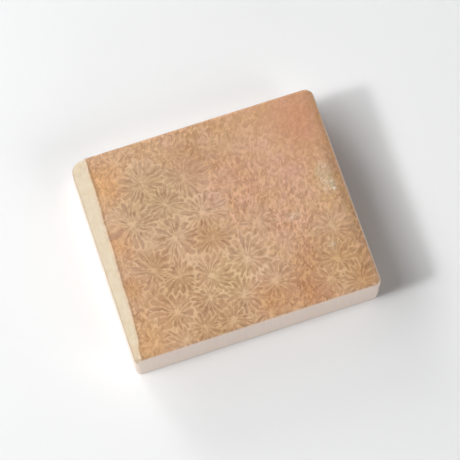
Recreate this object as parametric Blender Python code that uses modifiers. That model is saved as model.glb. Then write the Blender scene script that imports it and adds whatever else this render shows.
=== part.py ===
"""A polished rectangular block of fossil coral, sawn, ground and polished from one stone.

The block lies flat on its base. +X runs along the long side, +Y along the short side and +Z up,
with the origin in the middle of the base. All sizes are in metres.
"""

import math

import bmesh
import bpy
from mathutils import Vector

MM = 0.001

# Driving dimensions of the stone
LENGTH = 30.0 * MM
WIDTH = 25.4 * MM
THICKNESS = 6.5 * MM
CROWN = 0.10 * MM  # the middle of the polished top stands this much above its rim

# Both short sides are ground off by hand: the left to a crisp bevel, and the right to a soft roll-off.
# Each width is measured across the top at that corner.
LEFT_BEVEL_BACK = 1.95 * MM
LEFT_BEVEL_FRONT = 1.10 * MM
LEFT_BEVEL_TILT = math.radians(35)
RIGHT_ROLL_BACK = 1.05 * MM
RIGHT_ROLL_FRONT = 1.15 * MM
RIGHT_ROLL_TILT = math.radians(24)

# Radii of the upright corners, each ground by hand and so a little unlike the others
CORNER_BACK_LEFT = 1.15 * MM
CORNER_BACK_RIGHT = 1.00 * MM
CORNER_FRONT_RIGHT = 0.85 * MM
CORNER_FRONT_LEFT = 0.60 * MM

# How far the rounding of each other edge reaches to either side of it
LONG_TOP_EDGE = 0.45 * MM
LEFT_INNER_EDGE = 0.14 * MM
RIGHT_INNER_EDGE = 0.34 * MM
OUTER_EDGE = 0.20 * MM
BASE_EDGE = 0.30 * MM

WIDEST_EDGE = CORNER_BACK_LEFT
EDGE_SEGMENTS = 5
CROWN_COLUMNS = 9
CROWN_ROWS = 7

STONE_COLOUR = (0.60, 0.38, 0.22, 1.0)
STONE_ROUGHNESS = 0.14
AGATE_IOR = 1.54


def clear_scene():
    for thing in list(bpy.data.objects):
        bpy.data.objects.remove(thing, do_unlink=True)


def new_collection(name):
    collection = bpy.data.collections.new(name)
    bpy.context.scene.collection.children.link(collection)
    return collection


def polished_agate():
    """Silica that has replaced the coral: warm tan, hard and glossy."""
    material = bpy.data.materials.new("polished agatized coral")
    material.use_nodes = True
    shader = material.node_tree.nodes["Principled BSDF"]
    shader.inputs["Base Color"].default_value = STONE_COLOUR
    shader.inputs["Roughness"].default_value = STONE_ROUGHNESS
    shader.inputs["IOR"].default_value = AGATE_IOR
    shader.inputs["Metallic"].default_value = 0.0
    material.diffuse_color = STONE_COLOUR
    return material


def cut_edges(cut):
    return [item for item in cut["geom_cut"] if isinstance(item, bmesh.types.BMEdge)]


def everything(bm):
    return bm.verts[:] + bm.edges[:] + bm.faces[:]


def grind_bevel(bm, side, width_back, width_front, tilt):
    """Grinds one short side's bevel flat, through the line that it makes on the top.

    side is -1 for the left end and +1 for the right. The plane tilts down from that line by tilt.
    """
    at_back = Vector((side * (LENGTH / 2 - width_back), WIDTH / 2, THICKNESS))
    at_front = Vector((side * (LENGTH / 2 - width_front), -WIDTH / 2, THICKNESS))
    along = (at_back - at_front).normalized()
    across = Vector((side * along.y, -side * along.x, 0.0))
    downhill = across * math.cos(tilt) - Vector((0.0, 0.0, math.sin(tilt)))
    outward = along.cross(downhill)
    if outward.z < 0.0:
        outward.negate()
    cut = bmesh.ops.bisect_plane(
        bm, geom=everything(bm), plane_co=at_back, plane_no=outward, clear_outer=True
    )
    bmesh.ops.contextual_create(bm, geom=cut_edges(cut))


def divide_for_crown(bm):
    """Cuts the block into columns and rows, so that its flat top has points to lift."""
    for column in range(1, CROWN_COLUMNS):
        x = LENGTH * (column / CROWN_COLUMNS - 0.5)
        bmesh.ops.bisect_plane(bm, geom=everything(bm), plane_co=(x, 0, 0), plane_no=(1, 0, 0))
    for row in range(1, CROWN_ROWS):
        y = WIDTH * (row / CROWN_ROWS - 0.5)
        bmesh.ops.bisect_plane(bm, geom=everything(bm), plane_co=(0, y, 0), plane_no=(0, 1, 0))


def lower_rim_below_crown(bm):
    """Lets the top fall away from its middle by the crown, as hand polishing leaves it."""
    for point in bm.verts:
        if point.co.z < THICKNESS / 2:
            continue
        across = (2 * point.co.x / LENGTH) ** 2
        along = (2 * point.co.y / WIDTH) ** 2
        point.co.z -= CROWN * (across + along) / 2


def edge_radius(edge):
    """How far this edge of the ground block is rounded to either side, or 0 for one inside a face."""
    if edge.calc_face_angle(0.0) < math.radians(20):
        return 0.0
    start, end = edge.verts[0].co, edge.verts[1].co
    middle = (start + end) / 2
    run = end - start
    if abs(run.z) > 0.9 * run.length:
        if middle.x < 0:
            return CORNER_BACK_LEFT if middle.y > 0 else CORNER_FRONT_LEFT
        return CORNER_BACK_RIGHT if middle.y > 0 else CORNER_FRONT_RIGHT
    if middle.z < THICKNESS / 4:
        return BASE_EDGE
    if abs(run.y) > 0.9 * run.length:
        if abs(middle.x) > LENGTH / 2 - 0.05 * MM:
            return OUTER_EDGE
        return LEFT_INNER_EDGE if middle.x < 0 else RIGHT_INNER_EDGE
    return LONG_TOP_EDGE


def ground_block():
    """The sawn block with its ground ends and crown, still with sharp edges."""
    mesh = bpy.data.meshes.new("coral_block")
    bm = bmesh.new()
    bmesh.ops.create_cube(bm, size=1.0)
    bmesh.ops.scale(bm, vec=(LENGTH, WIDTH, THICKNESS), verts=bm.verts)
    bmesh.ops.translate(bm, vec=(0.0, 0.0, THICKNESS / 2), verts=bm.verts)
    grind_bevel(bm, -1, LEFT_BEVEL_BACK, LEFT_BEVEL_FRONT, LEFT_BEVEL_TILT)
    grind_bevel(bm, 1, RIGHT_ROLL_BACK, RIGHT_ROLL_FRONT, RIGHT_ROLL_TILT)
    divide_for_crown(bm)
    lower_rim_below_crown(bm)
    bmesh.ops.recalc_face_normals(bm, faces=bm.faces)
    weights = bm.edges.layers.float.new("bevel_weight_edge")
    for edge in bm.edges:
        edge[weights] = edge_radius(edge) / WIDEST_EDGE
    bm.to_mesh(mesh)
    bm.free()
    return mesh


def round_edges(stone):
    """Rounds every marked edge to its own radius."""
    rounding = stone.modifiers.new("rounded edges", "BEVEL")
    rounding.limit_method = "WEIGHT"
    rounding.offset_type = "OFFSET"
    rounding.width = WIDEST_EDGE
    rounding.segments = EDGE_SEGMENTS
    rounding.use_clamp_overlap = True


clear_scene()
stones = new_collection("fossil_coral")
block = bpy.data.objects.new("coral_block", ground_block())
stones.objects.link(block)
block.data.materials.append(polished_agate())
round_edges(block)
block.data.shade_smooth()
block.data.set_sharp_from_angle(angle=math.radians(30))
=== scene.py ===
"""A polished rectangular block of fossil coral, lying flat on a pale table in soft window light."""

import math

import bpy
import numpy as np
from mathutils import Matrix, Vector


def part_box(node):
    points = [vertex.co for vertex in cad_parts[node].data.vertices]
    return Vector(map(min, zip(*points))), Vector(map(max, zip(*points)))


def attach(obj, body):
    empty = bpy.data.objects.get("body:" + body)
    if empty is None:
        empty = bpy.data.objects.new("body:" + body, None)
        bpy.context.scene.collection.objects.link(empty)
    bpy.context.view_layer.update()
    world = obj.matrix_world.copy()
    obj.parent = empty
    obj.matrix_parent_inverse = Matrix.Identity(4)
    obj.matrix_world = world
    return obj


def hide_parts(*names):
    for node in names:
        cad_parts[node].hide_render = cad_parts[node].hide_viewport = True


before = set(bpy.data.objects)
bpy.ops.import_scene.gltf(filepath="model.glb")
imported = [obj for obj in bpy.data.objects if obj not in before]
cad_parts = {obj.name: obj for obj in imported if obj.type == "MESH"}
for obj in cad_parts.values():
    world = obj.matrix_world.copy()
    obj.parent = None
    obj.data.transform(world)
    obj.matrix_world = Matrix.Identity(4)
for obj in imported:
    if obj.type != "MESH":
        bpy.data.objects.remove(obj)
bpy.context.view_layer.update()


# The block: its shape.
# One piece of agatized coral, sawn to a rectangle, ground on a wheel and polished by hand.
# The long top edges are only broken, while both short ends carry a bevel: wide and crisp on the
# left, and a soft roll-off on the right. Lengths in this section are in millimetres.

MM = 0.001
low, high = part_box("coral_block")
HALF_LENGTH = (high[0] - low[0]) / 2 / MM
HALF_WIDTH = (high[1] - low[1]) / 2 / MM
THICKNESS = (high[2] - low[2]) / MM

CROWN = 0.10
LEFT_BEVEL_BACK = 1.97
LEFT_BEVEL_FRONT = 1.14
LEFT_BEVEL_FALL = math.tan(math.radians(35))
LEFT_BEVEL_BLEND = 0.10
RIGHT_BEVEL = 1.25
RIGHT_BEVEL_SWAY = 0.12
RIGHT_BEVEL_FALL = math.tan(math.radians(24))
RIGHT_BEVEL_BLEND = 0.30
LONG_EDGE_RADIUS = 0.45
SHORT_EDGE_RADIUS = 0.20
BASE_EDGE_RADIUS = 0.30
CORNER_RADII = {(-1, 1): 1.15, (1, 1): 1.00, (1, -1): 0.85, (-1, -1): 0.60}

# Waves that the wheel leaves in the left bevel: height, radians per mm and start in radians.
BEVEL_WAVES = ((0.04, 0.9, 1.0), (0.02, 2.3, 0.0))
# That bevel narrows by this much on the way to its front end, between these distances from it.
FRONT_NARROWING = 0.35
FRONT_NARROWING_BAND = (3.0, 0.8)

# The grid's lines stand closer at both ends and along the long edges, where the surface turns.
GRID_SPACING = 0.125
LEFT_END_SPACING = 0.055
RIGHT_END_SPACING = 0.09
LONG_EDGE_SPACING = 0.1
ENDS_REACH = 2.4
LONG_EDGES_REACH = 0.8
WALL_RINGS = 12
BASE_RINGS = 7

# Each finish, painted edge shade and arris highlight among them, is full up to the first distance of
# its band and gone by the second. The bevel's is measured from its inner edge, and the others from
# the outline or from the side that they lie along.
SAWN_BAND = (0.0, 0.16)
PAINTED_EDGE_SHADE_BAND = (0.06, 0.20)
ARRIS_HIGHLIGHT_BAND = (0.09, 0.25)
BEVEL_BAND = (-0.40, 0.45)
LEFT_END_BAND = (0.3, 0.5)
BACK_EDGE_BAND = (0.5, 0.8)
RIGHT_WALL_BAND = (0.05, 0.30)

# The right arris, which carries a painted highlight, lies within this distance of the right end. The
# back edge has this share of the left end's painted edge shade and of the top's polish, and the right
# wall this share of the top's polish.
RIGHT_END = 0.5
BACK_EDGE_SHARE = 0.8
RIGHT_WALL_FINISH = 0.8

# The bevel's finish thins by this share towards its front end, between these two places along Y.
FRONT_OF_BEVEL = (-9.5, -12.0)
FRONT_OF_BEVEL_LOSS = 0.15


def smooth_lower(a, b, blend):
    """The lower of two heights, with the crease between them rounded over a band of that width."""
    share = np.clip(0.5 + 0.5 * (b - a) / blend, 0.0, 1.0)
    return a * share + b * (1.0 - share) - blend * share * (1.0 - share)


def ease(start, end, value):
    """0 before start and 1 after end, with a smooth S between them."""
    step = np.clip((value - start) / (end - start), 0.0, 1.0)
    return step * step * (3.0 - 2.0 * step)


def within(band, distance):
    """1 up to the band's first distance and 0 past its second, with a smooth S between them."""
    return 1.0 - ease(*band, distance)


def lines_in_from_edge(radius, reach, spacing):
    """Distances in from an edge: r (1 - cos t) while it rounds over, then even steps out to reach."""
    turn = np.linspace(0.0, math.pi / 2, 8)
    return np.concatenate([radius * (1.0 - np.cos(turn)), np.arange(radius + spacing, reach, spacing)])


def lines_across(half, from_low, from_high, reach):
    """Grid lines from -half to half, crowded at both ends as those lists say and even between."""
    count = int(2 * (half - reach) / GRID_SPACING)
    between = np.linspace(reach - half, half - reach, count)
    return np.concatenate([from_low - half, between, (half - from_high)[::-1]])


def corner_radius(x, y):
    """The radius of the upright corner in that point's quarter of the block."""
    radius = np.zeros_like(x)
    for (side, end), size in CORNER_RADII.items():
        radius = np.where((x * side >= 0) & (y * end >= 0), size, radius)
    return radius


def round_corners(x, y):
    """Pulls the square corners of a flat grid in to quarter circles.

    Within a corner's square, with u and v running 0 to 1 towards the corner, the point goes to
    u sqrt(1 - v v / 2), v sqrt(1 - u u / 2), which lies in the quarter circle of that radius.
    """
    radius = corner_radius(x, y)
    u = np.clip((np.abs(x) - HALF_LENGTH + radius) / radius, 0.0, 1.0)
    v = np.clip((np.abs(y) - HALF_WIDTH + radius) / radius, 0.0, 1.0)
    moved_x = np.sign(x) * (np.abs(x) - radius * (u - u * np.sqrt(1.0 - v * v / 2)))
    moved_y = np.sign(y) * (np.abs(y) - radius * (v - v * np.sqrt(1.0 - u * u / 2)))
    return moved_x, moved_y


def way_out(x, y):
    """(distance in from the outline, outward direction) of each point of the rounded rectangle."""
    radius = corner_radius(x, y)
    beyond_x = np.abs(x) - (HALF_LENGTH - radius)
    beyond_y = np.abs(y) - (HALF_WIDTH - radius)
    in_corner = (beyond_x > 0) & (beyond_y > 0)
    reach = np.hypot(beyond_x, beyond_y)
    inset = np.where(in_corner, radius - reach, radius - np.maximum(beyond_x, beyond_y))
    nearer_end = beyond_x > beyond_y
    out_x = np.where(in_corner, beyond_x / np.maximum(reach, 1e-6), nearer_end * 1.0)
    out_y = np.where(in_corner, beyond_y / np.maximum(reach, 1e-6), ~nearer_end * 1.0)
    return np.maximum(inset, 0.0), out_x * np.sign(x), out_y * np.sign(y)


def left_bevel_width(y):
    """How far in from the left end its bevel begins.

    It widens evenly from front to back, plus the sines that the wheel leaves, less the narrowing.
    """
    along = (y + HALF_WIDTH) / (2 * HALF_WIDTH)
    wave = sum(height * np.sin(turn * y + start) for height, turn, start in BEVEL_WAVES)
    narrower = FRONT_NARROWING * ease(*FRONT_NARROWING_BAND, y + HALF_WIDTH)
    return LEFT_BEVEL_FRONT + (LEFT_BEVEL_BACK - LEFT_BEVEL_FRONT) * along + wave - narrower


def top_height(x, y):
    """Height of the polished top: the lowest of the crowned face and the two bevels, less the edge.

    The crown falls with the square of the distance from the middle. Each bevel is a plane that falls
    from a line across the top. Near the outline the edge falls by r - sqrt(r r - (r - s)(r - s)),
    where s is the distance in from the outline.
    """
    crowned = THICKNESS - CROWN * ((x / HALF_LENGTH) ** 2 + (y / HALF_WIDTH) ** 2) / 2
    end_height = THICKNESS - CROWN / 2
    left = end_height - LEFT_BEVEL_FALL * (left_bevel_width(y) - HALF_LENGTH - x)
    sway = RIGHT_BEVEL_SWAY * (1.0 - np.cos(math.pi * y / HALF_WIDTH))
    right = end_height - RIGHT_BEVEL_FALL * (x - HALF_LENGTH + RIGHT_BEVEL * (1.0 - sway))
    height = smooth_lower(crowned, left, LEFT_BEVEL_BLEND)
    height = smooth_lower(height, right, RIGHT_BEVEL_BLEND)
    inset, out_x, _ = way_out(x, y)
    edge_radius = LONG_EDGE_RADIUS + (SHORT_EDGE_RADIUS - LONG_EDGE_RADIUS) * out_x**2
    short_of = np.clip(edge_radius - inset, 0.0, edge_radius)
    return height - edge_radius + np.sqrt(edge_radius**2 - short_of**2)


def block_surface():
    """The whole stone: its points in metres, its faces, and by name four shares at each point.

    The top is one grid over the rounded rectangle, at top_height. The wall is that grid's rim carried
    down in rings, which turn in by the base edge's quarter circle and then shrink to the middle of
    the base. The shares run from 0 to 1. They are sawn, 1 on the base and the walls, except 0.2 on
    the right one, and 0 on the top but for its rim; bevelled, 1 on the left bevel; painted_edge_shade,
    where painted shade goes, 1 along the outline of the left end and 0.8 along the back; and
    right_arris_highlight, where a painted highlight goes, 1 along the outline of the right end.
    """
    across = lines_across(
        HALF_LENGTH,
        lines_in_from_edge(SHORT_EDGE_RADIUS, ENDS_REACH, LEFT_END_SPACING),
        lines_in_from_edge(SHORT_EDGE_RADIUS, ENDS_REACH, RIGHT_END_SPACING),
        ENDS_REACH,
    )
    long_edge = lines_in_from_edge(LONG_EDGE_RADIUS, LONG_EDGES_REACH, LONG_EDGE_SPACING)
    deep = lines_across(HALF_WIDTH, long_edge, long_edge, LONG_EDGES_REACH)
    x, y = round_corners(*np.meshgrid(across, deep))
    rows, columns = x.shape
    top = np.stack([x, y, top_height(x, y)], axis=-1).reshape(-1, 3)

    inset = way_out(x, y)[0].reshape(-1)
    from_left = top[:, 0] + HALF_LENGTH
    near_left = within(LEFT_END_BAND, from_left)
    near_back = BACK_EDGE_SHARE * within(BACK_EDGE_BAND, HALF_WIDTH - top[:, 1])
    top_sawn = within(SAWN_BAND, inset) * (1.0 - near_back)
    bevelled = within(BEVEL_BAND, from_left - left_bevel_width(top[:, 1]))
    bevelled = bevelled * (1.0 - FRONT_OF_BEVEL_LOSS * ease(*FRONT_OF_BEVEL, top[:, 1]))
    # Painted shade along the outline of the left end and the back edge, and a painted highlight along the
    # right arris.
    painted_edge_shade = within(PAINTED_EDGE_SHADE_BAND, inset) * np.maximum(near_left, near_back)
    right_arris_highlight = within(ARRIS_HIGHLIGHT_BAND, inset) * (top[:, 0] > HALF_LENGTH - RIGHT_END)

    number = np.arange(rows * columns).reshape(rows, columns)
    front_left, front_right = number[:-1, :-1], number[:-1, 1:]
    back_left, back_right = number[1:, :-1], number[1:, 1:]
    top_faces = np.stack([front_left, front_right, back_right, back_left], axis=-1).reshape(-1, 4)
    rim = np.concatenate([number[0, :-1], number[:-1, -1], number[-1, :0:-1], number[:0:-1, 0]])

    rim_points = top[rim]
    _, out_x, out_y = way_out(rim_points[:, 0], rim_points[:, 1])
    outward = np.stack([out_x, out_y], axis=-1)
    drop = np.linspace(0.0, 1.0, WALL_RINGS + 1)[1:, None]
    wall_z = rim_points[:, 2] + (BASE_EDGE_RADIUS - rim_points[:, 2]) * drop
    turn = np.linspace(0.0, math.pi / 2, 6)[1:, None, None]
    shrink = np.linspace(1.0, 0.0, BASE_RINGS + 1)[1:-1, None, None]
    wall_xy = np.broadcast_to(rim_points[:, :2], (WALL_RINGS, len(rim), 2))
    wall = np.concatenate([wall_xy, wall_z[..., None]], axis=-1)
    edge_xy = rim_points[:, :2] - BASE_EDGE_RADIUS * (1.0 - np.cos(turn)) * outward
    edge_z = np.broadcast_to(BASE_EDGE_RADIUS * (1.0 - np.sin(turn)), edge_xy.shape[:2] + (1,))
    edge = np.concatenate([edge_xy, edge_z], axis=-1)
    base_xy = edge[-1, :, :2] * shrink
    base = np.concatenate([base_xy, np.zeros(base_xy.shape[:2] + (1,))], axis=-1)
    rings = np.concatenate([wall, edge, base])
    ring_count, around = rings.shape[:2]

    ring_number = len(top) + np.arange(ring_count * around).reshape(ring_count, around)
    ring_number = np.concatenate([rim[None, :], ring_number])
    upper, lower = ring_number[:-1], ring_number[1:]
    wall_faces = np.stack(
        [upper, lower, np.roll(lower, -1, axis=1), np.roll(upper, -1, axis=1)], axis=-1
    ).reshape(-1, 4)
    middle = len(top) + ring_count * around
    last = ring_number[-1]
    fan = np.stack([last, np.full_like(last, middle), np.roll(last, -1)], axis=-1)

    points = np.concatenate([top, rings.reshape(-1, 3), np.zeros((1, 3))]) * MM
    below = points[len(top) :, 0] / MM
    on_right_wall = within(RIGHT_WALL_BAND, HALF_LENGTH - below)
    none_below = np.zeros_like(below)
    shares = {
        "sawn": np.concatenate([top_sawn, 1.0 - RIGHT_WALL_FINISH * on_right_wall]),
        "bevelled": np.concatenate([bevelled, none_below]),
        "painted_edge_shade": np.concatenate([painted_edge_shade, none_below]),
        "right_arris_highlight": np.concatenate([right_arris_highlight, none_below]),
    }
    faces = top_faces.tolist() + wall_faces.tolist() + fan.tolist()
    return points, faces, shares


points, faces, shares = block_surface()
block_mesh = bpy.data.meshes.new("polished_coral_block")
block_mesh.from_pydata(points, [], faces)
for name, share in shares.items():
    block_mesh.attributes.new(name, "FLOAT", "POINT").data.foreach_set("value", share)
block_mesh.shade_smooth()
block_mesh.update()
block = bpy.data.objects.new("polished_coral_block", block_mesh)
bpy.context.collection.objects.link(block)
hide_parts("coral_block")
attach(block, "root")


# The block: its figure and finish.
# Silica has replaced the coral grain by grain, so the polished top shows each corallite cut across as
# a flower: pale walls, the septa, run out from its middle, with darker agate petals between them.
# Between the flowers the skeleton is broken up into fine grains.


def linear(hex_colour):
    """The linear colour of an sRGB hex value."""
    channels = [int(hex_colour[place : place + 2], 16) / 255 for place in (1, 3, 5)]
    return tuple(c / 12.92 if c <= 0.04045 else ((c + 0.055) / 1.055) ** 2.4 for c in channels) + (1.0,)


def add(tree, kind, into=None, give=0, **settings):
    """Adds a node of that kind and returns its output give.

    settings are the node's own properties. into fills its sockets, by name or number: another
    node's output is linked, and anything else is set as the socket's value.
    """
    made = tree.nodes.new(kind)
    for name, value in settings.items():
        setattr(made, name, value)
    for socket, value in (into or {}).items():
        if isinstance(value, bpy.types.NodeSocket):
            tree.links.new(value, made.inputs[socket])
        else:
            made.inputs[socket].default_value = value
    return made.outputs[give]


# Where each corallite stands on the top, in mm from the middle, with its radius, how many petals it
# has and how clearly it shows, from 0 to 1.
CORALLITES = (
    (-10.0, 3.1, 3.55, 20, 1.0),
    (-5.9, 0.1, 3.45, 17, 1.0),
    (-7.6, 7.5, 3.35, 18, 0.9),
    (-2.8, 6.5, 3.05, 20, 0.8),
    (-5.8, 4.5, 3.15, 16, 1.0),
    (-2.2, 1.9, 3.15, 17, 1.0),
    (-9.7, -2.9, 3.35, 17, 0.9),
    (-7.2, -4.6, 3.15, 16, 1.0),
    (-3.4, -5.7, 3.55, 18, 1.0),
    (0.95, -5.0, 3.25, 17, 1.0),
    (-0.5, -8.9, 3.25, 17, 1.0),
    (-4.5, -8.1, 3.15, 16, 1.0),
    (-8.7, -8.4, 3.25, 16, 1.0),
    (-12.7, -0.7, 2.5, 14, 0.45),
    (-11.9, -11.3, 2.7, 16, 0.5),
    (-8.7, -12.1, 2.75, 14, 0.7),
    (-5.9, -11.4, 2.75, 14, 0.8),
    (-2.9, -11.5, 2.75, 14, 0.9),
    (3.3, -8.4, 2.85, 16, 0.7),
    (1.5, -11.9, 2.3, 14, 0.6),
    (-1.9, -1.4, 2.75, 16, 0.8),
    (11.6, -4.6, 2.45, 16, 0.70),
    (11.0, -8.2, 2.45, 14, 0.80),
    (12.8, -11.5, 2.35, 16, 0.85),
    (9.5, -10.3, 2.15, 14, 0.70),
    (-9.8, 10.9, 2.5, 16, 0.4),
    (-12.6, 7.2, 2.6, 17, 0.4),
    (-3.8, 10.2, 2.4, 16, 0.4),
    (-6.4, 11.2, 1.7, 13, 0.25),
    (-12.4, -4.4, 2.3, 14, 0.5),
    (3.6, -1.2, 2.0, 13, 0.6),
    (3.4, 8.6, 1.6, 13, 0.35),
    (0.6, 9.2, 1.9, 14, 0.40),
    (1.6, 4.6, 1.8, 13, 0.35),
    (5.4, -4.9, 1.9, 14, 0.35),
)

# Sizes of the figure, in mm, except the thickening and the unevenness, which are shares of a
# petal's lane. Both septa are given by half their width. A spread is the most that a petal differs by.
SEPTUM_AT_CENTRE = 0.04
SEPTUM_THICKENING = 0.06
PETAL_START = 0.12
PETAL_START_SPREAD = 0.45
PETAL_START_ROUNDING = 0.15
PETAL_LENGTH_SPREAD = 0.20
PETAL_ROUNDING = 0.30
PETAL_MARGIN = 0.07
PETAL_REACH = 0.75
PETAL_UNEVENNESS = 0.20
SPLIT_FROM = 1.5
SPLIT_SPREAD = 5.0
YOUNG_SEPTUM = 0.045
YOUNG_SEPTUM_ROUNDING = 0.08
FRAY_REACH = 0.5
RIM_START = 0.04
RIM_WIDTH = 0.24
GRAIN_SIZE = 0.44
STREAK_SIZE = 0.62
FLECK_SIZE = 0.30

# Patterns that are given by how many there are to a millimetre, or across a petal's lane.
FRAYS_PER_MM = 2.2
STAINS_PER_MM = 0.9
STREAKS_PER_MM = 1.2
STREAKS_PER_PETAL = 2.8

# The grains are drawn out along a line this far off the short side, and they fade around the back
# right corner.
GRAIN_ANGLE = math.radians(20)
GRAIN_STRETCH = (1.0, 0.6, 0.6)
SMOOTH_CORNER = (13.5, 11.5, 6.5)

# The skeleton's lines wander: over what length, and how far in all from side to side, in mm.
WANDER = ((2.6, 1.0), (0.8, 0.28))

# Bands of the figure, in mm: over which a petal fills in from its edge, its rim weakens on the way in
# from the tip, its streaks fade on the way out, a flower gives way to the grains, the petals turn
# brown along Y, and the grains come back with the distance from the smooth corner.
FILL_BAND = (-0.22, 0.17)
TIP_BAND = (0.2, 1.2)
STREAK_BAND = (1.4, 2.8)
FLOWER_EDGE_BAND = (-0.2, 0.4)
BROWN_BAND = (2.0, -6.0)
SMOOTH_BAND = (4.0, 15.0)

# The weighing starts from this depth, so a corallite whose edge is over 9 mm away never counts.
START_DEPTH = -9.0
# Each corallite's seed is this much past that of the one before it.
SEED_STEP = 0.37


def new_group(name, inputs, outputs):
    """A new node group's tree, its inputs' sockets and its output node.

    inputs and outputs are lists of (name, kind).
    """
    tree = bpy.data.node_groups.new(name, "ShaderNodeTree")
    for socket_name, kind in inputs:
        tree.interface.new_socket(socket_name, in_out="INPUT", socket_type="NodeSocket" + kind)
    for socket_name, kind in outputs:
        tree.interface.new_socket(socket_name, in_out="OUTPUT", socket_type="NodeSocket" + kind)
    entry = tree.nodes.new("NodeGroupInput")
    leave = tree.nodes.new("NodeGroupOutput")
    return tree, entry.outputs, leave


def nearest_corallite_group():
    """Weighs one corallite against the best so far.

    A corallite has no wall of its own: its petals push out between its neighbours'. So its depth is
    its radius, plus a cosine that swings once per petal, less the distance to its centre. The group
    keeps the greatest and second greatest depth, and the deepest corallite's facts and its place:
    x and y from the centre, and the count of petals passed on the way round to that angle.
    """
    tree, given, leave = new_group(
        "weigh one corallite",
        (
            ("Place", "Vector"),
            ("Centre", "Vector"),
            ("Radius", "Float"),
            ("Facts", "Vector"),
            ("Depth", "Float"),
            ("Second", "Float"),
            ("Best place", "Vector"),
            ("Best facts", "Vector"),
        ),
        (("Depth", "Float"), ("Second", "Float"), ("Best place", "Vector"), ("Best facts", "Vector")),
    )
    facts = add(tree, "ShaderNodeSeparateXYZ", {0: given["Facts"]}).node.outputs
    petals, seed = facts["X"], facts["Y"]
    into = {0: given["Place"], 1: given["Centre"]}
    offset = add(tree, "ShaderNodeVectorMath", into, operation="SUBTRACT")
    away = add(tree, "ShaderNodeVectorMath", {0: offset}, give="Value", operation="LENGTH")
    offset = add(tree, "ShaderNodeSeparateXYZ", {0: offset}).node.outputs
    angle = add(tree, "ShaderNodeMath", {0: offset["Y"], 1: offset["X"]}, operation="ARCTAN2")
    uneven = add(tree, "ShaderNodeMath", {0: angle, 1: 3.0, 2: seed}, operation="MULTIPLY_ADD")
    uneven = add(tree, "ShaderNodeMath", {0: uneven}, operation="SINE")
    around = add(tree, "ShaderNodeMath", {0: petals, 1: 1 / math.tau}, operation="MULTIPLY")
    around = add(tree, "ShaderNodeMath", {0: angle, 1: around, 2: seed}, operation="MULTIPLY_ADD")
    into = {0: uneven, 1: PETAL_UNEVENNESS, 2: around}
    around = add(tree, "ShaderNodeMath", into, operation="MULTIPLY_ADD")
    swing = add(tree, "ShaderNodeMath", {0: around, 1: math.tau, 2: math.pi}, operation="MULTIPLY_ADD")
    swing = add(tree, "ShaderNodeMath", {0: swing}, operation="COSINE")
    into = {0: swing, 1: PETAL_REACH / 2, 2: given["Radius"]}
    depth = add(tree, "ShaderNodeMath", into, operation="MULTIPLY_ADD")
    depth = add(tree, "ShaderNodeMath", {0: depth, 1: away}, operation="SUBTRACT")

    deeper = add(tree, "ShaderNodeMath", {0: depth, 1: given["Depth"]}, operation="GREATER_THAN")
    lesser = add(tree, "ShaderNodeMath", {0: depth, 1: given["Depth"]}, operation="MINIMUM")
    greatest = add(tree, "ShaderNodeMath", {0: depth, 1: given["Depth"]}, operation="MAXIMUM")
    second = add(tree, "ShaderNodeMath", {0: lesser, 1: given["Second"]}, operation="MAXIMUM")
    place = add(tree, "ShaderNodeCombineXYZ", {0: offset["X"], 1: offset["Y"], 2: around})
    into = {0: deeper, 4: given["Best place"], 5: place}
    place = add(tree, "ShaderNodeMix", into, give=1, data_type="VECTOR")
    into = {0: deeper, 4: given["Best facts"], 5: given["Facts"]}
    facts = add(tree, "ShaderNodeMix", into, give=1, data_type="VECTOR")
    for socket, value in enumerate((greatest, second, place, facts)):
        tree.links.new(value, leave.inputs[socket])
    return tree


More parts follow.
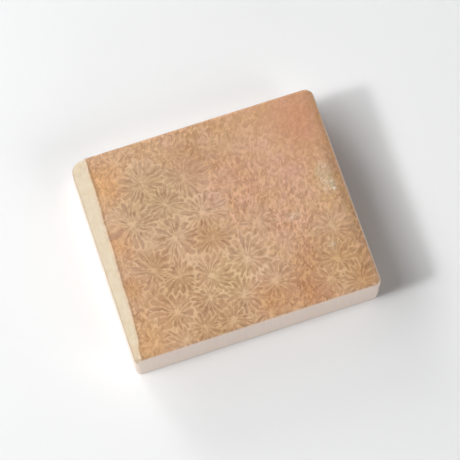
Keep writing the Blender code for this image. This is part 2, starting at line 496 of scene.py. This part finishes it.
def petal_group():
    """How deep a point lies inside a petal and how far from its tip, in mm, and the petal's tones.

    Each petal has a lane of its own out from the centre. A petal is as deep as the least of: half
    its lane less the septum and the distance off the lane's middle line, the distance to the edge of
    the flower, and the distance past the pale middle. Far out, a young septum splits some lanes.
    """
    tree, given, leave = new_group(
        "petals of one corallite",
        (("Place", "Vector"), ("Edge", "Float"), ("Facts", "Vector")),
        (
            ("Inside", "Float"),
            ("To tip", "Float"),
            ("Tone", "Float"),
            ("Darkness", "Float"),
            ("Streak", "Float"),
        ),
    )
    facts = add(tree, "ShaderNodeSeparateXYZ", {0: given["Facts"]}).node.outputs
    petals, seed = facts["X"], facts["Y"]
    around = add(tree, "ShaderNodeSeparateXYZ", {0: given["Place"]}, give="Z")
    into = {0: given["Place"], 1: (1.0, 1.0, 0.0)}
    away = add(tree, "ShaderNodeVectorMath", into, operation="MULTIPLY")
    away = add(tree, "ShaderNodeVectorMath", {0: away}, give="Value", operation="LENGTH")
    lane = add(tree, "ShaderNodeMath", {0: around}, operation="FLOOR")
    share = add(tree, "ShaderNodeMath", {0: around, 1: lane}, operation="SUBTRACT")
    share = add(tree, "ShaderNodeMath", {0: share, 1: 0.5}, operation="SUBTRACT")
    share = add(tree, "ShaderNodeMath", {0: share}, operation="ABSOLUTE")
    lane = add(tree, "ShaderNodeMath", {0: lane, 1: petals}, operation="FLOORED_MODULO")
    own = add(tree, "ShaderNodeCombineXYZ", {0: lane, 1: seed})
    own = add(tree, "ShaderNodeTexWhiteNoise", {0: own}, give="Color", noise_dimensions="3D")
    own = add(tree, "ShaderNodeSeparateColor", {0: own}).node.outputs

    lane_width = add(tree, "ShaderNodeMath", {0: away, 1: math.tau}, operation="MULTIPLY")
    lane_width = add(tree, "ShaderNodeMath", {0: lane_width, 1: petals}, operation="DIVIDE")
    off_middle = add(tree, "ShaderNodeMath", {0: share, 1: lane_width}, operation="MULTIPLY")
    into = {0: lane_width, 1: 0.5 - SEPTUM_THICKENING, 2: -SEPTUM_AT_CENTRE}
    side = add(tree, "ShaderNodeMath", into, operation="MULTIPLY_ADD")
    side = add(tree, "ShaderNodeMath", {0: side, 1: off_middle}, operation="SUBTRACT")
    into = {0: own["Red"], 1: -PETAL_LENGTH_SPREAD, 2: -PETAL_MARGIN}
    shorter = add(tree, "ShaderNodeMath", into, operation="MULTIPLY_ADD")
    tip = add(tree, "ShaderNodeMath", {0: given["Edge"], 1: shorter}, operation="ADD")
    inside = add(tree, "ShaderNodeMath", {0: side, 1: tip, 2: PETAL_ROUNDING}, operation="SMOOTH_MIN")
    into = {0: own["Green"], 1: PETAL_START_SPREAD, 2: PETAL_START}
    start = add(tree, "ShaderNodeMath", into, operation="MULTIPLY_ADD")
    start = add(tree, "ShaderNodeMath", {0: away, 1: start}, operation="SUBTRACT")
    into = {0: inside, 1: start, 2: PETAL_START_ROUNDING}
    inside = add(tree, "ShaderNodeMath", into, operation="SMOOTH_MIN")

    into = {0: own["Blue"], 1: SPLIT_SPREAD, 2: SPLIT_FROM}
    late = add(tree, "ShaderNodeMath", into, operation="MULTIPLY_ADD")
    late = add(tree, "ShaderNodeMath", {0: late, 1: away}, operation="SUBTRACT")
    split = add(tree, "ShaderNodeMath", {0: late, 1: 0.0}, operation="MAXIMUM")
    split = add(tree, "ShaderNodeMath", {0: off_middle, 1: split}, operation="ADD")
    split = add(tree, "ShaderNodeMath", {0: split, 1: YOUNG_SEPTUM}, operation="SUBTRACT")
    into = {0: inside, 1: split, 2: YOUNG_SEPTUM_ROUNDING}
    inside = add(tree, "ShaderNodeMath", into, operation="SMOOTH_MIN")

    across = add(tree, "ShaderNodeMath", {0: around, 1: STREAKS_PER_PETAL}, operation="MULTIPLY")
    along = add(tree, "ShaderNodeMath", {0: away, 1: STREAKS_PER_MM}, operation="MULTIPLY")
    streak = add(tree, "ShaderNodeCombineXYZ", {0: across, 1: along, 2: seed})
    streak = add(tree, "ShaderNodeTexNoise", {0: streak, "Scale": 1.0, "Detail": 1.0})
    into = {0: away, 1: STREAK_BAND[0], 2: STREAK_BAND[1], 3: 1.0, 4: 0.35}
    inward = add(tree, "ShaderNodeMapRange", into)
    streak = add(tree, "ShaderNodeMapRange", {0: streak, 1: 0.46, 2: 0.64, 4: inward})

    for socket, value in enumerate((inside, tip, own["Green"], own["Blue"], streak)):
        tree.links.new(value, leave.inputs[socket])
    return tree


def flowers(tree, place, flat):
    """(figure, share) of the corallites: their colour as a share of the stone's, and where they are."""
    weigh = nearest_corallite_group()
    best = {"Depth": START_DEPTH, "Second": START_DEPTH, "Best place": (0, 0, 0), "Best facts": (0, 0, 0)}
    for number, (x, y, radius, petals, clear) in enumerate(CORALLITES):
        facts = (petals, SEED_STEP * number, clear)
        into = {"Place": flat, "Centre": (x, y, 0.0), "Radius": radius, "Facts": facts, **best}
        weighed = add(tree, "ShaderNodeGroup", into, node_tree=weigh).node.outputs
        best = {name: weighed[name] for name in best}
    gap = add(tree, "ShaderNodeMath", {0: best["Depth"], 1: best["Second"]}, operation="SUBTRACT")
    gap = add(tree, "ShaderNodeMath", {0: gap, 1: 0.5}, operation="MULTIPLY")
    edge = add(tree, "ShaderNodeMath", {0: gap, 1: best["Depth"]}, operation="MINIMUM")
    into = {"Place": best["Best place"], "Edge": edge, "Facts": best["Best facts"]}
    petal = add(tree, "ShaderNodeGroup", into, node_tree=petal_group()).node.outputs

    frayed = add(tree, "ShaderNodeTexNoise", {0: place, "Scale": FRAYS_PER_MM, "Detail": 2.0})
    frayed = add(tree, "ShaderNodeMath", {0: frayed, 1: 0.5}, operation="SUBTRACT")
    into = {0: frayed, 1: FRAY_REACH, 2: petal["Inside"]}
    frayed = add(tree, "ShaderNodeMath", into, operation="MULTIPLY_ADD")
    filled = add(
        tree,
        "ShaderNodeMapRange",
        {0: frayed, 1: FILL_BAND[0], 2: FILL_BAND[1]},
        interpolation_type="SMOOTHSTEP",
    )
    rim = add(
        tree,
        "ShaderNodeMapRange",
        {0: frayed, 1: RIM_START, 2: RIM_START + RIM_WIDTH, 3: 1.0, 4: 0.0},
        interpolation_type="SMOOTHSTEP",
    )
    into = {0: petal["To tip"], 1: TIP_BAND[0], 2: TIP_BAND[1], 3: 0.40, 4: 0.25}
    at_tip = add(tree, "ShaderNodeMapRange", into)
    rim = add(tree, "ShaderNodeMath", {0: rim, 1: at_tip}, operation="MULTIPLY")
    stain = add(tree, "ShaderNodeTexNoise", {0: place, "Scale": STAINS_PER_MM, "Detail": 2.0})
    stain = add(tree, "ShaderNodeMapRange", {0: stain, 1: 0.38, 2: 0.62, 3: 0.45, 4: 1.0})
    rim = add(tree, "ShaderNodeMath", {0: rim, 1: stain}, operation="MULTIPLY")
    inner = add(
        tree,
        "ShaderNodeMix",
        {0: petal["Tone"], 6: linear("#DDD4D7"), 7: linear("#F6F0ED")},
        give=2,
        data_type="RGBA",
    )

    # The petals are browner towards the front, and about a quarter of them are darker. Every petal's
    # rim and streaks are darker than the rest of it.
    forward = add(tree, "ShaderNodeSeparateXYZ", {0: flat}, give="Y")
    into = {0: forward, 1: BROWN_BAND[0], 2: BROWN_BAND[1], 4: 0.6}
    brown = add(tree, "ShaderNodeMapRange", into)
    dark = add(tree, "ShaderNodeMapRange", {0: petal["Darkness"], 1: 0.75, 2: 1.0, 4: 0.5})
    streak = petal["Streak"]
    tones = ((brown, "#E2CFC4"), (dark, "#CFC2C4"), (rim, "#D0C4C6"), (streak, "#C2B1AA"))
    for amount, tone in tones:
        into = {0: amount, 6: inner, 7: linear(tone)}
        inner = add(tree, "ShaderNodeMix", into, give=2, data_type="RGBA")
    figure = add(
        tree, "ShaderNodeMix", {0: filled, 6: linear("#FFFFFF"), 7: inner}, give=2, data_type="RGBA"
    )
    clear = add(tree, "ShaderNodeSeparateXYZ", {0: best["Best facts"]}, give="Z")
    share = add(
        tree,
        "ShaderNodeMapRange",
        {0: best["Depth"], 1: FLOWER_EDGE_BAND[0], 2: FLOWER_EDGE_BAND[1], 4: clear},
        interpolation_type="SMOOTHSTEP",
    )
    return figure, share


def broken_skeleton(tree, bent):
    """The colour, as a share of the stone's, of the grains between the flowers.

    They are short darker strokes drawn out along one direction. Thin pale streaks and small pale
    flecks lie over them. Near the back right corner all of them fade.
    """
    into = {0: bent, "Angle": GRAIN_ANGLE}
    lying = add(tree, "ShaderNodeVectorRotate", into, rotation_type="Z_AXIS")
    lying = add(tree, "ShaderNodeVectorMath", {0: lying, 1: GRAIN_STRETCH}, operation="MULTIPLY")
    strokes = add(
        tree,
        "ShaderNodeTexNoise",
        {0: lying, "Scale": 1 / GRAIN_SIZE, "Detail": 2.0, "Roughness": 0.6, "Distortion": 0.9},
    )
    strokes = add(tree, "ShaderNodeMapRange", {0: strokes, 1: 0.38, 2: 0.72})
    inner = add(
        tree,
        "ShaderNodeMix",
        {0: strokes, 6: linear("#CFC3B9"), 7: linear("#FFFFFC")},
        give=2,
        data_type="RGBA",
    )
    # Moved well aside, the streaks' noise has nothing to do with the strokes'.
    shift = add(tree, "ShaderNodeVectorMath", {0: lying, 1: (31.0, 17.0, 5.0)}, operation="ADD")
    into = {0: shift, "Scale": 1 / STREAK_SIZE, "Detail": 1.0, "Distortion": 1.2}
    streak = add(tree, "ShaderNodeTexNoise", into)
    streak = add(tree, "ShaderNodeMath", {0: streak, 1: 0.5}, operation="SUBTRACT")
    streak = add(tree, "ShaderNodeMath", {0: streak}, operation="ABSOLUTE")
    streak = add(tree, "ShaderNodeMapRange", {0: streak, 1: 0.0, 2: 0.035, 3: 0.45, 4: 0.0})
    flecks = add(tree, "ShaderNodeTexNoise", {0: shift, "Scale": 1 / FLECK_SIZE, "Detail": 0.0})
    flecks = add(tree, "ShaderNodeMapRange", {0: flecks, 1: 0.56, 2: 0.70, 4: 0.9})
    streak = add(tree, "ShaderNodeMath", {0: streak, 1: flecks}, operation="MAXIMUM")
    into = {0: streak, 6: inner, 7: linear("#FFFFFA")}
    inner = add(tree, "ShaderNodeMix", into, give=2, data_type="RGBA")
    into = {0: bent, 1: SMOOTH_CORNER}
    smooth = add(tree, "ShaderNodeVectorMath", into, give="Value", operation="DISTANCE")
    into = {0: smooth, 1: SMOOTH_BAND[0], 2: SMOOTH_BAND[1], 3: 0.35, 4: 1.0}
    smooth = add(tree, "ShaderNodeMapRange", into)
    return add(
        tree, "ShaderNodeMix", {0: smooth, 6: linear("#ECE0D8"), 7: inner}, give=2, data_type="RGBA"
    )


# The pale skeleton's colour, then the patches where it differs: place in mm, radius in mm and colour.
# A patch fades out at PATCH_FADE times its radius.
STONE = "#E6C4A2"
PATCH_FADE = 1.3
# The right end's colour is partly an iron stain and partly painted light: brighter than the stone, it
# stands in for light coming through the roll-off, which faces away from the key light.
RIGHT_END_STAIN_AND_GLOW = "#F8D0A8"
# That stain and its painted glow begin this far in from the right end, and are full by the second
# distance.
RIGHT_END_STAIN_AND_GLOW_BAND = (1.5, 0.3)
PATCHES = (
    (-6.9, 5.0, 5.4, "#D8BA92"),
    (-4.5, -11.5, 5.5, "#D8B58C"),
    (-1.4, -6.2, 3.2, "#E4C599"),
    (-1.2, 8.2, 3.6, "#D8B290"),
    (2.5, 4.0, 5.0, "#E7BFA2"),
    (7.1, -2.7, 3.4, "#E7C0A5"),
    (8.6, 3.4, 3.6, "#EAC5AF"),
    (-11.8, 8.8, 3.0, "#EEC293"),
    (-12.4, 1.3, 2.4, "#E6B98E"),
    (-12.7, -11.0, 3.4, "#E8C194"),
    (-9.0, -2.2, 2.6, "#D8B48C"),
    (6.8, -10.8, 3.6, "#DAAC87"),
    (8.4, -7.2, 2.6, "#DAAF8D"),
    (12.6, 9.4, 5.0, "#E4B79B"),
    (13.4, -11.0, 2.6, "#D2A87B"),
    (-9.8, -6.0, 2.4, "#DAB48C"),
    (-6.8, -5.5, 3.6, "#DCB98F"),
    (-2.2, -1.0, 3.0, "#D8B288"),
    (11.6, -8.0, 4.0, "#DDB88C"),
    (2.2, -10.5, 2.6, "#DDB083"),
    (-12.6, -4.2, 1.8, "#DDB286"),
    (7.0, 7.6, 3.4, "#EAC8AC"),
    (-2.0, -6.9, 1.8, "#E0C196"),
    (-9.6, -9.2, 2.2, "#E0BB90"),
)


def stone_colour(tree, flat):
    """The colour of the pale skeleton: iron has stained it in soft patches, and the right end is stained
    and brightened with painted light.
    """
    stone = linear(STONE)
    for x, y, radius, colour in PATCHES:
        into = {0: flat, 1: (x, y, 0.0)}
        away = add(tree, "ShaderNodeVectorMath", into, give="Value", operation="DISTANCE")
        into = {0: away, 1: radius * PATCH_FADE, 2: 0.0}
        near = add(tree, "ShaderNodeMapRange", into, interpolation_type="SMOOTHSTEP")
        into = {0: near, 6: stone, 7: linear(colour)}
        stone = add(tree, "ShaderNodeMix", into, give=2, data_type="RGBA")
    # Painted light along the right end: its stain is brighter than the stone around it.
    right = add(tree, "ShaderNodeSeparateXYZ", {0: flat}, give="X")
    begins, full = (HALF_LENGTH - inwards for inwards in RIGHT_END_STAIN_AND_GLOW_BAND)
    into = {0: right, 1: begins, 2: full, 4: 0.9}
    right = add(tree, "ShaderNodeMapRange", into, interpolation_type="SMOOTHSTEP")
    into = {0: right, 6: stone, 7: linear(RIGHT_END_STAIN_AND_GLOW)}
    return add(tree, "ShaderNodeMix", into, give=2, data_type="RGBA")


# Where clear quartz grains show, by patch: place and radii in mm, and how thickly they lie.
DRUSES = (
    (12.9, 1.6, 1.1, 2.2, 0.45),
    (13.4, 0.4, 0.55, 0.9, 0.75),
    (7.8, -1.8, 1.0, 0.6, 0.30),
    (10.9, -6.4, 0.6, 0.9, 0.25),
)
CRYSTAL_SIZE = 0.20
# The share of the crystals without a painted glint, and how far in all noise shifts a patch's outline, in
# mm.
CRYSTALS_WITHOUT_GLINT = 0.90
RAGGEDNESS = 1.6


def crystals(tree, place, stone):
    """The stone's colour with a few patches of pale quartz grains in it, a tenth of them painted near
    white as glints.
    """
    wander = add(tree, "ShaderNodeTexNoise", {0: place, "Scale": 1.5, "Detail": 2.0}, give="Color")
    ragged = add(tree, "ShaderNodeVectorMath", {0: wander, 1: (0.5, 0.5, 0.5)}, operation="SUBTRACT")
    ragged = add(tree, "ShaderNodeVectorMath", {0: ragged, "Scale": RAGGEDNESS}, operation="SCALE")
    ragged = add(tree, "ShaderNodeVectorMath", {0: place, 1: ragged}, operation="ADD")
    grain = add(tree, "ShaderNodeTexVoronoi", {0: place, "Scale": 1 / CRYSTAL_SIZE}, give="Color")
    grain = add(tree, "ShaderNodeSeparateColor", {0: grain}).node.outputs
    crystal = add(
        tree,
        "ShaderNodeMix",
        {0: grain["Red"], 6: linear("#BCA488"), 7: linear("#E2D4B4")},
        give=2,
        data_type="RGBA",
    )
    # Painted glints: a tenth of the grains are painted near white, as if they sparkled.
    painted_glint = add(tree, "ShaderNodeMath", {0: grain["Green"], 1: CRYSTALS_WITHOUT_GLINT}, operation="GREATER_THAN")
    into = {0: painted_glint, 6: crystal, 7: linear("#FFFDF4")}
    crystal = add(tree, "ShaderNodeMix", into, give=2, data_type="RGBA")
    for x, y, across, along, thick in DRUSES:
        near = add(tree, "ShaderNodeVectorMath", {0: ragged, 1: (x, y, 0.0)}, operation="SUBTRACT")
        into = {0: near, 1: (1 / across, 1 / along, 0.0)}
        near = add(tree, "ShaderNodeVectorMath", into, operation="MULTIPLY")
        near = add(tree, "ShaderNodeVectorMath", {0: near}, give="Value", operation="LENGTH")
        into = {0: near, 1: 1.2, 2: 0.4, 4: thick}
        near = add(tree, "ShaderNodeMapRange", into, interpolation_type="SMOOTHSTEP")
        stone = add(tree, "ShaderNodeMix", {0: near, 6: stone, 7: crystal}, give=2, data_type="RGBA")
    return stone


TOP_ROUGHNESS = 0.14
BEVEL_ROUGHNESS = 0.26
SAWN_ROUGHNESS = 0.40
# How much paler the sawn surfaces are: partly their finish, partly a painted reflection of the white
# table in the walls.
SAWN_PALENESS_AND_REFLECTION = 0.84
CHALCEDONY_IOR = 1.54
# How far red, green and blue light spread under the polish, as shares of LIGHT_REACH in metres.
LIGHT_SPREAD = (1.0, 0.5, 0.25)
LIGHT_REACH = 0.5 * MM


def agatized_coral():
    """Chalcedony with fossil coral in it: glassy on the polished top, satin where it's only ground."""
    material = bpy.data.materials.new("agatized coral, polished")
    material.use_nodes = True
    tree = material.node_tree
    shader = tree.nodes["Principled BSDF"]
    coordinates = add(tree, "ShaderNodeTexCoord", give="Object")
    place = add(tree, "ShaderNodeVectorMath", {0: coordinates, "Scale": 1 / MM}, operation="SCALE")

    # The skeleton never grew quite straight: two sizes of wander bend its lines.
    bent = place
    for size, reach in WANDER:
        into = {0: place, "Scale": 1 / size, "Detail": 1.0}
        wander = add(tree, "ShaderNodeTexNoise", into, give="Color")
        wander = add(tree, "ShaderNodeVectorMath", {0: wander, 1: (0.5, 0.5, 0.5)}, operation="SUBTRACT")
        wander = add(tree, "ShaderNodeVectorMath", {0: wander, "Scale": reach}, operation="SCALE")
        bent = add(tree, "ShaderNodeVectorMath", {0: bent, 1: wander}, operation="ADD")
    flat = add(tree, "ShaderNodeVectorMath", {0: bent, 1: (1.0, 1.0, 0.0)}, operation="MULTIPLY")

    flower_figure, in_flower = flowers(tree, place, flat)
    grains = broken_skeleton(tree, bent)
    blush = add(tree, "ShaderNodeTexNoise", {0: place, "Scale": 0.7, "Detail": 1.0})
    blush = add(tree, "ShaderNodeMapRange", {0: blush, 1: 0.3, 2: 0.7})
    into = {0: blush, 6: linear("#FFF6F8"), 7: linear("#FDF5E9")}
    blush = add(tree, "ShaderNodeMix", into, give=2, data_type="RGBA")
    into = {0: 1.0, 6: grains, 7: blush}
    grains = add(tree, "ShaderNodeMix", into, give=2, data_type="RGBA", blend_type="MULTIPLY")
    figure = add(
        tree, "ShaderNodeMix", {0: in_flower, 6: grains, 7: flower_figure}, give=2, data_type="RGBA"
    )
    stone = stone_colour(tree, flat)
    into = {0: 1.0, 6: stone, 7: figure}
    stone = add(tree, "ShaderNodeMix", into, give=2, data_type="RGBA", blend_type="MULTIPLY")
    colour = crystals(tree, place, stone)

    # The bevel is ground less finely than the top, and the walls are only sawn: the rougher, the paler.
    # Their pale colours are also painted light: a painted sheen of the windows mirrored in the bevel, and
    # a painted reflection of the white table in the walls. Towards its inner edge the bevel's pale finish
    # gives way to the stone again, and a slight painted shade dims the bevel, which faces the key light.
    # Painted shade darkens the left end's outer edge and the back edge, and a painted highlight shows the
    # right arris as a thin pale line.
    bevelled = add(tree, "ShaderNodeAttribute", give="Fac", attribute_name="bevelled")
    clear = add(tree, "ShaderNodeMapRange", {0: bevelled, 1: 0.0, 2: 0.35})
    mottle = add(tree, "ShaderNodeTexNoise", {0: place, "Scale": 1.1, "Detail": 3.0})
    mottle = add(tree, "ShaderNodeMapRange", {0: mottle, 1: 0.35, 2: 0.65, 3: 0.70, 4: 0.88})
    bevel_pale_and_sheen = add(tree, "ShaderNodeMapRange", {0: bevelled, 1: 0.25, 2: 1.0, 4: mottle})
    sawn = add(tree, "ShaderNodeAttribute", give="Fac", attribute_name="sawn")
    wall_pale_and_reflection = add(tree, "ShaderNodeMath", {0: sawn, 1: SAWN_PALENESS_AND_REFLECTION}, operation="MULTIPLY")
    painted_edge_shade = add(tree, "ShaderNodeAttribute", give="Fac", attribute_name="painted_edge_shade")
    # A painted highlight: the right arris's thin pale line.
    right_arris_highlight = add(tree, "ShaderNodeAttribute", give="Fac", attribute_name="right_arris_highlight")
    # The bevel's and walls' pale colours are partly painted reflection, the outline's multiply is painted
    # shade and the arris's pale line a painted highlight.
    finishes = (
        (clear, "#E4E2DE", "MULTIPLY"),
        (bevel_pale_and_sheen, "#D0C5AD", "MIX"),
        (wall_pale_and_reflection, "#DDCEC3", "MIX"),
        (painted_edge_shade, "#DAD4C8", "MULTIPLY"),
        (right_arris_highlight, "#FFE4CE", "MIX"),
    )
    for share, finish, blend in finishes:
        into = {0: share, 6: colour, 7: linear(finish)}
        colour = add(tree, "ShaderNodeMix", into, give=2, data_type="RGBA", blend_type=blend)
    into = {0: bevelled, 2: TOP_ROUGHNESS, 3: BEVEL_ROUGHNESS}
    roughness = add(tree, "ShaderNodeMix", into, data_type="FLOAT")
    into = {0: sawn, 2: roughness, 3: SAWN_ROUGHNESS}
    roughness = add(tree, "ShaderNodeMix", into, data_type="FLOAT")

    tree.links.new(colour, shader.inputs["Base Color"])
    tree.links.new(roughness, shader.inputs["Roughness"])
    shader.inputs["IOR"].default_value = CHALCEDONY_IOR
    shader.inputs["Subsurface Weight"].default_value = 0.15
    shader.inputs["Subsurface Radius"].default_value = LIGHT_SPREAD
    shader.inputs["Subsurface Scale"].default_value = LIGHT_REACH
    return material


block_mesh.materials.append(agatized_coral())


# The table and the light, neither of which is part of the stone.
# White card under a compact key light and soft windows on the left, above and behind, with two
# cards that fill in the front and the right.

TABLE_HALF = 0.6
bpy.ops.mesh.primitive_plane_add(size=2 * TABLE_HALF, location=(0.0, 0.0, 0.0))
table = bpy.context.object
table.name = "white_table"
card = bpy.data.materials.new("white card")
card.use_nodes = True
card_shader = card.node_tree.nodes["Principled BSDF"]
card_shader.inputs["Base Color"].default_value = linear("#F0F0F0")
card_shader.inputs["Roughness"].default_value = 0.9
table.data.materials.append(card)

world = bpy.data.worlds.new("soft studio")
world.use_nodes = True
world.node_tree.nodes["Background"].inputs["Color"].default_value = (0.97, 0.99, 1.0, 1.0)
world.node_tree.nodes["Background"].inputs["Strength"].default_value = 0.005
bpy.context.scene.world = world


def aim(thing, place, target):
    """Puts a camera or light at place, looking at target."""
    thing.location = place
    thing.rotation_euler = (Vector(target) - Vector(place)).to_track_quat("-Z", "Y").to_euler()


LIGHT_COLOUR = (0.99, 0.995, 1.0)
# Each light: its name, its place, its width and height in metres, and its power in watts.
LIGHTS = (
    ("key light", (-0.660, -0.020, 0.533), 0.15, 0.13, 3.15),
    ("window on the left", (-0.570, 0.260, 0.480), 0.60, 0.28, 1.75),
    ("window at the back left", (-0.430, 0.500, 0.420), 0.45, 0.25, 0.40),
    ("high window", (-0.250, 0.000, 0.360), 0.20, 0.20, 0.44),
    ("window behind", (-0.120, 0.330, 0.120), 0.20, 0.20, 0.72),
    ("white card in front", (-0.060, -0.340, 0.070), 0.20, 0.20, 0.30),
    ("white card on the right", (0.350, -0.450, 0.400), 0.35, 0.35, 1.36),
)
for name, place, width, height, power in LIGHTS:
    light = bpy.data.objects.new(name, bpy.data.lights.new(name, "AREA"))
    light.data.shape = "ELLIPSE"
    light.data.size = width
    light.data.size_y = height
    light.data.energy = power
    light.data.color = LIGHT_COLOUR
    bpy.context.collection.objects.link(light)
    aim(light, place, (0.0, 0.0, 0.0))

# The low card in front only fills in the front wall. From low down behind it would be mirrored in
# the whole polished top and hide the figure, so it isn't seen in reflections.
bpy.data.objects["white card in front"].visible_glossy = False

# The camera: nearly overhead, from a little in front, with the stone turned 18 degrees.
CAMERA_AZIMUTH = math.radians(-18.045)
CAMERA_ELEVATION = math.radians(73.62)
CAMERA_DISTANCE = 0.280
CAMERA_LENS = 184.5
STONE_LEFT_OF_MIDDLE = 0.00062
STONE_BELOW_MIDDLE = 0.00093
back_along = np.array(
    [
        math.sin(CAMERA_AZIMUTH) * math.cos(CAMERA_ELEVATION),
        -math.cos(CAMERA_AZIMUTH) * math.cos(CAMERA_ELEVATION),
        math.sin(CAMERA_ELEVATION),
    ]
)
to_right = np.array([math.cos(CAMERA_AZIMUTH), math.sin(CAMERA_AZIMUTH), 0.0])
to_top = np.cross(back_along, to_right)
camera = bpy.data.objects.new("camera", bpy.data.cameras.new("camera"))
camera.data.lens = CAMERA_LENS
camera.data.sensor_width = 36.0
camera.data.clip_start = 0.01
bpy.context.collection.objects.link(camera)
aim(
    camera,
    tuple(back_along * CAMERA_DISTANCE),
    tuple(to_right * STONE_LEFT_OF_MIDDLE + to_top * STONE_BELOW_MIDDLE),
)
bpy.context.scene.camera = camera
bpy.context.scene.view_settings.view_transform = "Standard"
